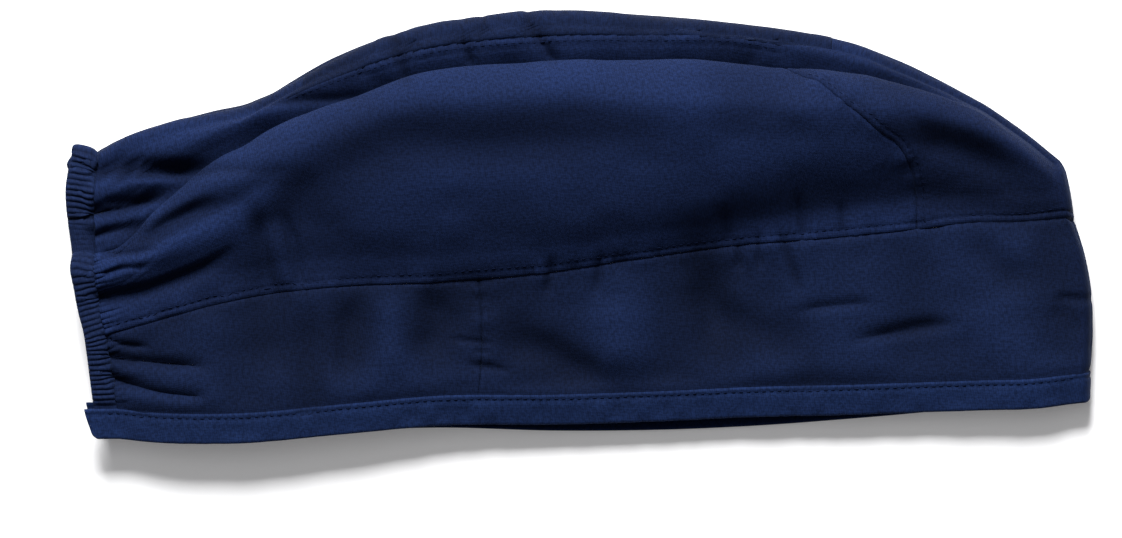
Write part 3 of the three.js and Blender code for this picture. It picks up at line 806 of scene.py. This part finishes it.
# The seams of each crown panel: the line, whether this panel is stitched there, the noise and its puckers.
RIGHT_SEAMS = [("band", True, 8), ("centre", False, 9)]
CENTRE_SEAMS = [("band", True, 8), ("centre", True, 9), ("far", True, 10, 0.5), ("under", False, 9)]
LEFT_SEAMS = [("band", False, 8), ("far", False, 10, 0.5)]


def crown_detail(seams):
    def detail(points, facts):
        rise = loose_cloth(points, facts) + sum(seam_shape(points, *seam) for seam in seams)
        return upper_only(facts, rise), np.ones(len(points))

    return detail


# The band is calm and thin at its hem, where it runs under the binding.
HEM_CALM = 3.0
HEM_THINNESS = 0.45
HEM_THICKENING = 1.5
DENT_CLEARANCE = 6


def band_detail(points, facts):
    away, _ = nearest("band", points)
    dents = noise(11, points[:, 0] / 13, points[:, 1] / 48) * (1 - np.exp(-away / DENT_CLEARANCE))
    rise = loose_cloth(points, facts) + 0.7 * dents
    for line, number in (("band", 8), ("join", 9), ("join_under", 9)):
        rise += seam_shape(points, line, False, number)
    from_hem = np.maximum((facts["across"] - HEM) * BAND_WIDTH, 0)
    rise += 0.5 * noise(10, facts["u"] / 3.2, from_hem / 7) * np.exp(-from_hem / 4)
    share = mix(HEM_THINNESS, 1.0, eased(from_hem / HEM_THICKENING))
    return upper_only(facts, rise * (1 - bell(from_hem, HEM_CALM))), share


# The binding stands a little proud of the casing that runs under its end.
END_ROUNDING = 0.007
BINDING_LIFT = 0.9
BINDING_LIFT_END = 0.02
BINDING_GROOVE = 0.36
BINDING_EDGE = 0.7


def binding_detail(points, facts):
    along, across, u = facts["along"], facts["across"], facts["u"]
    puckers = noise(0, u / 3.4, across * 2.2) + 0.6 * noise(1, u / 1.7, across * 2)
    rise = 0.2 * puckers + 0.25 * noise(5, u / 23, across)
    rise += BINDING_LIFT * eased((BINDING_LIFT_END - along) / (BINDING_LIFT_END - BINDING_END))
    from_stitches = (1 - across) * BINDING_WIDTH - HEM_STITCH_OFF
    dimple = 0.8 + 0.2 * np.cos(2 * math.pi * u / STITCH_PITCH)
    share = 1 - BINDING_GROOVE * dimple * bell(from_stitches, 0.55)
    edge = np.clip(np.minimum(across, 1 - across) * BINDING_WIDTH / BINDING_EDGE, 0, 1)
    share *= 0.5 + 0.5 * np.sqrt(1 - (1 - edge) ** 2)
    return upper_only(facts, rise, 0.1), share


# How the casing is gathered, from its rim end up: y of each stretch, its ribs' depth, and their slant as
# ribs across the casing's width. Underneath, it is gathered evenly.
STRETCH_COLUMNS = ("y", "depth", "slant")
CASING_STRETCHES = np.array([
    (-50, 0.95, 0.3),
    (-34, 0.9, 0.2),
    (-30, 0.75, 1.6),
    (-21, 0.8, 1.2),
    (-14, 0.9, 0.3),
    (-9.5, 0.9, -0.4),
    (-7, 0.1, -0.2),
    (0.5, 0.1, -0.2),
    (3, 1, -0.3),
    (10, 1, -0.7),
    (21, 1, -1.4),
])
RIB_DEPTH = 0.75
CASING_FOLD_Y = 2.3
CASING_FOLD_WIDTH = 0.55
CASING_TAPER = 0.16


def stretch(name, y, upper_layer, under):
    values = CASING_STRETCHES[:, STRETCH_COLUMNS.index(name)]
    return np.where(upper_layer, np.interp(y, CASING_STRETCHES[:, 0], values), under)


def casing_detail(points, facts):
    v, y = facts["v"], points[:, 1]
    width = np.clip(facts["along"] / CASING_ALONG, 0, 1)
    upper_layer = facts["side"] < 0.5
    warp = 0.22 * noise(1, v / 6.5, width * 1.2) + 0.05 * noise(6, v / 2.2, width * 3)
    turns = y / RIB_PITCH + warp + stretch("slant", y, upper_layer, 0.2) * width
    rib = np.abs(np.cos(math.pi * turns)) ** 0.7 - 0.65
    uneven = 0.9 + 0.2 * noise(2, v / 2.4, width)
    lump = 0.08 * noise(0, v / 5.5, width * 1.6)
    tube = np.sqrt(np.clip(1 - (2 * np.abs(width - 0.5)) ** 2.2, 0, 1))
    fold = bell(y - CASING_FOLD_Y, CASING_FOLD_WIDTH) * upper_layer
    depth = RIB_DEPTH * stretch("depth", y, upper_layer, 0.8)
    rise = depth * uneven * rib * (0.6 + 0.4 * tube) + lump - fold
    clear_of_rim = eased((facts["across"] - HEM) / CASING_TAPER)
    share = (0.3 + 0.7 * tube) * (0.35 + 0.65 * clear_of_rim)
    return upper_only(facts, rise * (0.2 + 0.8 * clear_of_rim), 0.35), share


# Materials.
def fill(tree, made, inputs):
    """Sets a node's inputs, each to a value or to another node's output."""
    for name, value in inputs.items():
        if isinstance(value, bpy.types.NodeSocket):
            tree.links.new(value, made.inputs[name])
        else:
            made.inputs[name].default_value = value


def node(tree, kind, inputs, **settings):
    made = tree.nodes.new(kind)
    for name, value in settings.items():
        setattr(made, name, value)
    fill(tree, made, inputs)
    return made


def math_node(tree, operation, *values):
    return node(tree, "ShaderNodeMath", dict(enumerate(values)), operation=operation).outputs[0]


def times_plus(tree, value, factor, extra):
    return math_node(tree, "ADD", math_node(tree, "MULTIPLY", value, factor), extra)


def noise_node(tree, vector, scale, detail=2.0):
    inputs = {"Vector": vector, "Scale": scale, "Detail": detail}
    return node(tree, "ShaderNodeTexNoise", inputs).outputs["Fac"]


def ramp_node(tree, value, dark, light, light_at=1.0):
    ramp = node(tree, "ShaderNodeValToRGB", {0: value})
    low, high = ramp.color_ramp.elements
    low.color = (*dark, 1)
    high.color = (*light, 1)
    high.position = light_at
    return ramp.outputs[0]


def new_material(name):
    material = bpy.data.materials.new(name)
    material.use_nodes = True
    return material, material.node_tree, material.node_tree.nodes["Principled BSDF"]


# The twill, in millimetres. Its ribs shift by one rib over RIB_SLOPE rib widths.
RIB_WIDTH = 0.62
WEFT_WIDTH = 0.43
RIB_SLOPE = 5.5
TWILL_DEPTH = 0.22

# How the colour varies: how much of it each cause changes, its darkest and lightest tone, and how much
# painted shade darkens the creases and painted light lightens the folds.
PATCH_CONTRAST = 0.45
TWILL_CONTRAST = 0.6
SPECK_CONTRAST = 2.2
DARKEST = 0.68
LIGHTEST = 1.3
LIGHTEST_AT = 0.9
# Painted shade and light: the colour is scaled from CREASE_SHADE in creases up to CREASE_SHADE +
# FOLD_SHADE on folds.
CREASE_SHADE = 0.6
FOLD_SHADE = 0.8


def twill_height(tree, uv):
    """Raised warp ribs crossed by finer weft, as a height from 0 to 1."""
    x, y, _ = node(tree, "ShaderNodeSeparateXYZ", {0: uv}).outputs
    shift = math_node(tree, "MULTIPLY", noise_node(tree, uv, 1300), 5.0)
    turn_per_m = 2 * math.pi / MM
    slant = math_node(tree, "MULTIPLY", y, turn_per_m / (RIB_SLOPE * RIB_WIDTH))
    ribs = times_plus(tree, x, turn_per_m / RIB_WIDTH, slant)
    warp = math_node(tree, "SINE", math_node(tree, "ADD", ribs, shift))
    weft = math_node(tree, "SINE", times_plus(tree, y, turn_per_m / WEFT_WIDTH, shift))
    both = times_plus(tree, warp, 0.26, math_node(tree, "MULTIPLY", weft, 0.12))
    return math_node(tree, "ADD", both, 0.5)


def cloth_material(name, colour, bump=0.4):
    material, tree, shader = new_material(name)
    uv = node(tree, "ShaderNodeUVMap", {}, uv_map="weave").outputs[0]
    height = twill_height(tree, uv)
    patches = noise_node(tree, uv, 38, 5)
    specks = math_node(tree, "SUBTRACT", noise_node(tree, uv, 1150, 1), 0.42)
    tone = math_node(tree, "MULTIPLY", math_node(tree, "SUBTRACT", patches, 0.5), PATCH_CONTRAST)
    tone = times_plus(tree, height, TWILL_CONTRAST, tone)
    tone = times_plus(tree, specks, SPECK_CONTRAST, tone)
    dark, light = ([c * share for c in colour] for share in (DARKEST, LIGHTEST))
    # Painted shade and light: the colour is darker in creases and lighter on folds.
    painted_shading = node(tree, "ShaderNodeAttribute", {}, attribute_name="painted_shading").outputs["Fac"]
    shade = times_plus(tree, painted_shading, FOLD_SHADE, CREASE_SHADE)
    tone_and_painted_shading = {0: ramp_node(tree, tone, dark, light, LIGHTEST_AT), "Scale": shade}
    relief = {"Strength": bump, "Distance": TWILL_DEPTH * MM, "Height": height}
    fill(tree, shader, {
        "Base Color": node(tree, "ShaderNodeVectorMath", tone_and_painted_shading, operation="SCALE").outputs[0],
        "Roughness": times_plus(tree, patches, 0.12, 0.8),
        "Specular IOR Level": 0.06,
        "Sheen Weight": 0.05,
        "Sheen Roughness": 0.4,
        "Sheen Tint": (0.3, 0.45, 0.9, 1),
        "Normal": node(tree, "ShaderNodeBump", relief).outputs[0],
    })
    return material


def thread_material():
    material, tree, shader = new_material("thread")
    place = node(tree, "ShaderNodeTexCoord", {}).outputs["Object"]
    twist = noise_node(tree, place, 2500)
    colour = ramp_node(tree, twist, (0.0022, 0.004, 0.013), (0.006, 0.011, 0.036))
    fill(tree, shader, {"Base Color": colour, "Roughness": 0.9, "Specular IOR Level": 0.02})
    return material


SIDE_CLOTH = cloth_material("side_cloth", (0.0047, 0.0105, 0.0385))
CENTRE_CLOTH = cloth_material("centre_cloth", (0.0040, 0.0088, 0.0320))
# The far side panel is the same navy cloth given a darker colour: painted shade on its strip, top turn and
# lower layer.
SHADED_FAR_CLOTH = cloth_material("far_cloth_painted_shade", (0.0026, 0.0060, 0.0220))
BAND_CLOTH = cloth_material("band_cloth", (0.0034, 0.0076, 0.0272))
BINDING_CLOTH = cloth_material("binding_cloth", (0.0052, 0.0125, 0.0450))
CASING_CLOTH = cloth_material("casing_cloth", (0.0046, 0.0096, 0.0330), bump=0.35)
THREAD = thread_material()

# The pieces. STEP is the mesh size on the upper layer, UNDER_STEP on the layer that lies on the floor, and
# each RUN is about how long a stretch of cloth is. At the back, the centre panel covers BACK_FOLD of the
# top's turn, and the far side panel the rest.
STEP = 0.75
UNDER_STEP = 2.0
CROWN_RUN = 190
FOREHEAD_RUN = 50
BACK_BAND_RUN = 100
FRONT_BAND_RUN = 165
BACK_FOLD = 0.4
BACK_PARTS = spaced(0, STRIP_START, STEP / CROWN_RUN)
STRIP_PARTS = spaced(STRIP_START, 1, STEP / CROWN_RUN)
NEAR_TURN = np.linspace(0, BACK_FOLD, 6)
FAR_TURN = np.linspace(BACK_FOLD, 1, 9)


def columns(low, high, step):
    return spaced(low * LENGTH, high * LENGTH, step) / LENGTH


def chained(*stretches):
    """Rows of numbers, each starting where the one before ends, as one row."""
    return np.concatenate([row[:-1] for row in stretches[:-1]] + [stretches[-1]])


def behind_seam(parts, lines):
    """Places on the crown behind the centre panel's seam, as parts of the way to it."""
    part, across = mesh_grid(parts, lines)
    return part * seam_end(across), across


def turn_behind_seam(parts, folds):
    part, fold_part = mesh_grid(parts, folds)
    return top_turn_grid(part * seam_end(TOP), fold_part)


def crown_side_right():
    grids = [upper_grid(*behind_seam(columns(0, 1, STEP * 1.2), crown_lines(SEAM, UNDER, STEP)))]
    return sheet_piece("crown_right", "crown_side_right", grids, crown_detail(RIGHT_SEAMS), SIDE_CLOTH)


def crown_center():
    strip_rows = crown_lines(TUCK, STRIP, STEP)
    top_rows = crown_lines(STRIP, TOP, STEP)[1:]
    rows = np.concatenate([crown_lines(SEAM, TUCK, STEP), strip_rows[1:], top_rows])
    grids = [
        upper_grid(*behind_seam(BACK_PARTS, np.concatenate([strip_rows, top_rows]))),
        upper_grid(*behind_seam(STRIP_PARTS, strip_rows)),
        turn_behind_seam(BACK_PARTS, NEAR_TURN),
    ]
    onward = spaced(0, 1, STEP / FOREHEAD_RUN)
    fold = np.linspace(0, 1, 13)
    part, across = mesh_grid(onward, rows)
    along = mix(seam_end(across), 1.0, part)
    grids += [upper_grid(along, across), lower_grid(along, across)]
    part, fold_part = mesh_grid(onward, fold)
    grids.append(top_turn_grid(mix(seam_end(TOP), 1.0, part), fold_part))
    grids.append(front_turn_grid(*mesh_grid(fold, rows)))
    return sheet_piece("crown_centre", "crown_center", grids, crown_detail(CENTRE_SEAMS), CENTRE_CLOTH)


def crown_side_left():
    grids = [
        upper_grid(*behind_seam(STRIP_PARTS, crown_lines(STRIP, TOP, STEP))),
        turn_behind_seam(BACK_PARTS, FAR_TURN),
        turn_behind_seam(STRIP_PARTS, chained(NEAR_TURN, FAR_TURN)),
        lower_grid(*behind_seam(chained(BACK_PARTS, STRIP_PARTS), np.linspace(SEAM, TOP, 44))),
    ]
    # The far side panel's darker colour is painted shade.
    return sheet_piece("crown_left", "crown_side_left", grids, crown_detail(LEFT_SEAMS), SHADED_FAR_CLOTH)


def band_rows():
    """Lines up the band, from just inside the binding that is sewn over its edge."""
    return np.concatenate([[HEM - BAND_TUCK], np.linspace(HEM, SEAM, int(BAND_WIDTH / STEP) + 2)])


def behind_join(step):
    part, across = mesh_grid(spaced(0, 1, step / BACK_BAND_RUN), band_rows())
    return part * band_join(across), across


def ahead_of_join(step):
    part, across = mesh_grid(spaced(0, 1, step / FRONT_BAND_RUN), band_rows())
    return mix(band_join(across), 1.0, part), across


def band_front():
    grids = [upper_grid(*ahead_of_join(STEP)), lower_grid(*ahead_of_join(UNDER_STEP))]
    grids.append(front_turn_grid(*mesh_grid(np.linspace(0, 1, 17), band_rows())))
    return sheet_piece("front_band", "band_front", grids, band_detail, BAND_CLOTH)


def band_back(side, part):
    return sheet_piece("back_band_" + side, "band_back_" + side, [part], band_detail, BAND_CLOTH)


def binding():
    rows = chained(np.linspace(0, 0.12, 5), np.linspace(0.12, 0.88, 14), np.linspace(0.88, 1, 5))
    lengthwise = chained(columns(BINDING_END, 0, STEP), columns(0, 1, STEP))
    along, across = mesh_grid(lengthwise, rows)
    rounding = END_ROUNDING * np.clip(1 - across / 0.2, 0, 1) ** 2
    along = np.where(along < 0, along * (1 + rounding / BINDING_END), along)
    grids = [upper_grid(along, across), lower_grid(along, across, BINDING)]
    grids.append(front_turn_grid(*mesh_grid(np.linspace(0, 1, 17), rows), BINDING))
    return sheet_piece("rim_binding", "hem_binding", grids, binding_detail, BINDING_CLOTH, BINDING)


def casing():
    low, high = HEM - CASING_TUCK, float(TOP)
    dense = np.linspace(low, high, 900)
    arc = arc_length(np.zeros(900), dense)
    rows = np.append(np.interp(np.arange(arc[0], arc[-1], STEP / 5), arc, dense), high)
    width = np.linspace(CASING_ALONG, 0, 23)
    along, across = mesh_grid(width, rows)
    grids = [upper_grid(along, across), lower_grid(along, across, CASING)]
    grids.append(top_turn_grid(*mesh_grid(width, np.linspace(0, 1, 25)), CASING))
    looks = (casing_detail, CASING_CLOTH, CASING)
    return sheet_piece("back_casing", "elastic_casing", grids, *looks, ribbed=True)


# Stitches: short rounded threads along a line, laid on the finished cloth. Each station of a thread says
# how far along it is, and how far out of the cloth its middle lies, in thread radii.
STITCH_SHARE = 0.6
FIRST_STITCH = 0.6
SHORTEST_STITCH = 0.3
STITCH_SEARCH = 1.5
THREAD_RADIUS = 0.14
RING = 6
THREAD_STATIONS = [(0.0, -1.2), (0.15, -0.4), (0.35, -0.05), (0.65, -0.05), (0.85, -0.4), (1.0, -1.2)]


def stitch_line(points):
    """The two ends of each stitch along a line of points."""
    fine, at = polyline(points, 0.1)
    starts = np.arange(FIRST_STITCH, at[-1] - STITCH_PITCH, STITCH_PITCH)
    return places(fine, at, starts), places(fine, at, starts + STITCH_SHARE * STITCH_PITCH)


def add_stitch(start, end, normal, points, faces):
    """One thread, arched out of the cloth with its ends sunk in."""
    run = end - start
    side = normal.cross(run).normalized()
    reach = THREAD_RADIUS * MM
    base = len(points)
    for part, lift in THREAD_STATIONS:
        centre = start + run * part + normal * (lift * reach)
        for k in range(RING):
            angle = 2 * math.pi * k / RING
            points.append(centre + side * (reach * math.cos(angle)) + normal * (reach * math.sin(angle)))
    last = base + (len(THREAD_STATIONS) - 1) * RING
    for ring in range(base, last, RING):
        for k in range(RING):
            a = ring + k
            b = ring + (k + 1) % RING
            faces.append((a, b, b + RING, a + RING))
    faces += [tuple(range(base, base + RING))[::-1], tuple(range(last, last + RING))]


def stitching(name, piece, lines):
    """Stitches along lines, on the piece's upper face."""
    corners = [v.co.copy() for v in piece.data.vertices]
    surface = BVHTree.FromPolygons(corners, [tuple(p.vertices) for p in piece.data.polygons])
    raised = Vector((0, 0, STITCH_SEARCH * MM))
    points, faces = [], []
    for line in lines:
        starts, ends = stitch_line(line)
        for start, end in zip(on_plan(starts) * MM, on_plan(ends) * MM):
            a, normal_a, _, _ = surface.find_nearest(Vector(start) + raised)
            b, normal_b, _, _ = surface.find_nearest(Vector(end) + raised)
            if (a - b).length >= SHORTEST_STITCH * STITCH_PITCH * MM:
                add_stitch(a, b, (normal_a + normal_b).normalized(), points, faces)
    mesh = bpy.data.meshes.new(name)
    mesh.from_pydata(points, [], faces)
    mesh.shade_smooth()
    mesh.materials.append(THREAD)
    thread = add_object(name, mesh)
    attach(thread, "root")
    return thread


def above_band_seam(low, high):
    along = np.linspace(low, high, 400)
    arc = arc_length(along, np.full_like(along, SEAM)) + STITCH_OFF
    lines = np.linspace(SEAM - 0.5, SEAM + 1.5, 60)
    lengths = arc_length(*np.broadcast_arrays(along[:, None], lines))
    return upper(along, np.array([np.interp(a, row, lines) for a, row in zip(arc, lengths)]))


def beside_centre_seam():
    across = np.linspace(SEAM + 0.1, 5.8, 200)
    line = upper(seam_end(across), across)
    tangent = unit(np.gradient(line, axis=0))
    onward = upper(seam_end(across) + 0.002, across) - line
    return line + STITCH_OFF * unit(onward - tangent * np.sum(onward * tangent, 1, keepdims=True))


def build_cap():
    right = crown_side_right()
    centre = crown_center()
    left = crown_side_left()
    front_band = band_front()
    back_right = band_back("right", upper_grid(*behind_join(STEP)))
    back_left = band_back("left", lower_grid(*behind_join(UNDER_STEP)))
    rim = binding()
    back_casing = casing()
    seam_share = seam_end(SEAM)
    far_line = on_line(np.linspace(FAR_STITCH_START, seam_end(STRIP), 400), STRIP - FAR_STITCH_SHARE)
    hem_line = on_line(np.linspace(CASING_ALONG / 2, 1, 500), 1 - HEM_STITCH_OFF / BINDING_WIDTH)
    centre_lines = [above_band_seam(seam_share, 0.995), beside_centre_seam(), far_line]
    side_stitches = stitching("stitches_crown_right", right, [above_band_seam(0.01, seam_share)])
    centre_stitches = stitching("stitches_crown_centre", centre, centre_lines)
    rim_stitches = stitching("stitches_binding", rim, [hem_line])


# The floor, light and camera, in metres, apart from VIEW_CENTRE, which is in millimetres. The floor glows
# a little, so that it stays pale.
FLOOR_REACH = 4.0
FLOOR_GLOW = 0.16
WORLD_LIGHT = 0.085
CAMERA_HEIGHT = 2.6
VIEW_WIDTH = 0.3068
VIEW_CENTRE = (-5.2 - PLAN_CENTRE[0], -11.3 - PLAN_CENTRE[1])


def floor():
    mesh = bpy.data.meshes.new("floor")
    corners = [(x * FLOOR_REACH, y * FLOOR_REACH, 0) for x, y in ((-1, -1), (1, -1), (1, 1), (-1, 1))]
    mesh.from_pydata(corners, [], [(0, 1, 2, 3)])
    material, tree, shader = new_material("floor")
    fill(tree, shader, {
        "Base Color": (0.93, 0.93, 0.94, 1),
        "Roughness": 0.9,
        "Specular IOR Level": 0.1,
        "Emission Color": (1.0, 0.98, 0.98, 1),
        "Emission Strength": FLOOR_GLOW,
    })
    mesh.materials.append(material)
    add_object("floor", mesh)


def area_light(name, place, size, power):
    """A square light that points at the cap."""
    light = bpy.data.lights.new(name, "AREA")
    light.shape = "SQUARE"
    light.size = size
    light.energy = power
    lamp = add_object(name, light)
    lamp.location = place
    lamp.rotation_euler = (-Vector(place)).to_track_quat("-Z", "Y").to_euler()


def lighting():
    area_light("key", (-0.2, 1.35, 1.15), 0.75, 80)
    area_light("overhead", (-0.3, 0.5, 1.9), 1.2, 5)
    world = bpy.data.worlds.new("room")
    world.use_nodes = True
    tree = world.node_tree
    fill(tree, tree.nodes["Background"], {0: (0.95, 0.97, 1.0, 1), 1: WORLD_LIGHT})
    bpy.context.scene.world = world


def camera():
    """A camera that looks straight down, as a new one does."""
    data = bpy.data.cameras.new("camera")
    data.sensor_width = 36
    data.lens = data.sensor_width * CAMERA_HEIGHT / VIEW_WIDTH
    data.clip_start = 0.1
    data.clip_end = 20
    eye = add_object("camera", data)
    eye.location = (VIEW_CENTRE[0] * MM, VIEW_CENTRE[1] * MM, CAMERA_HEIGHT)
    bpy.context.scene.camera = eye


camera()
build_cap()
floor()
lighting()
bpy.context.scene.view_settings.view_transform = "Standard"
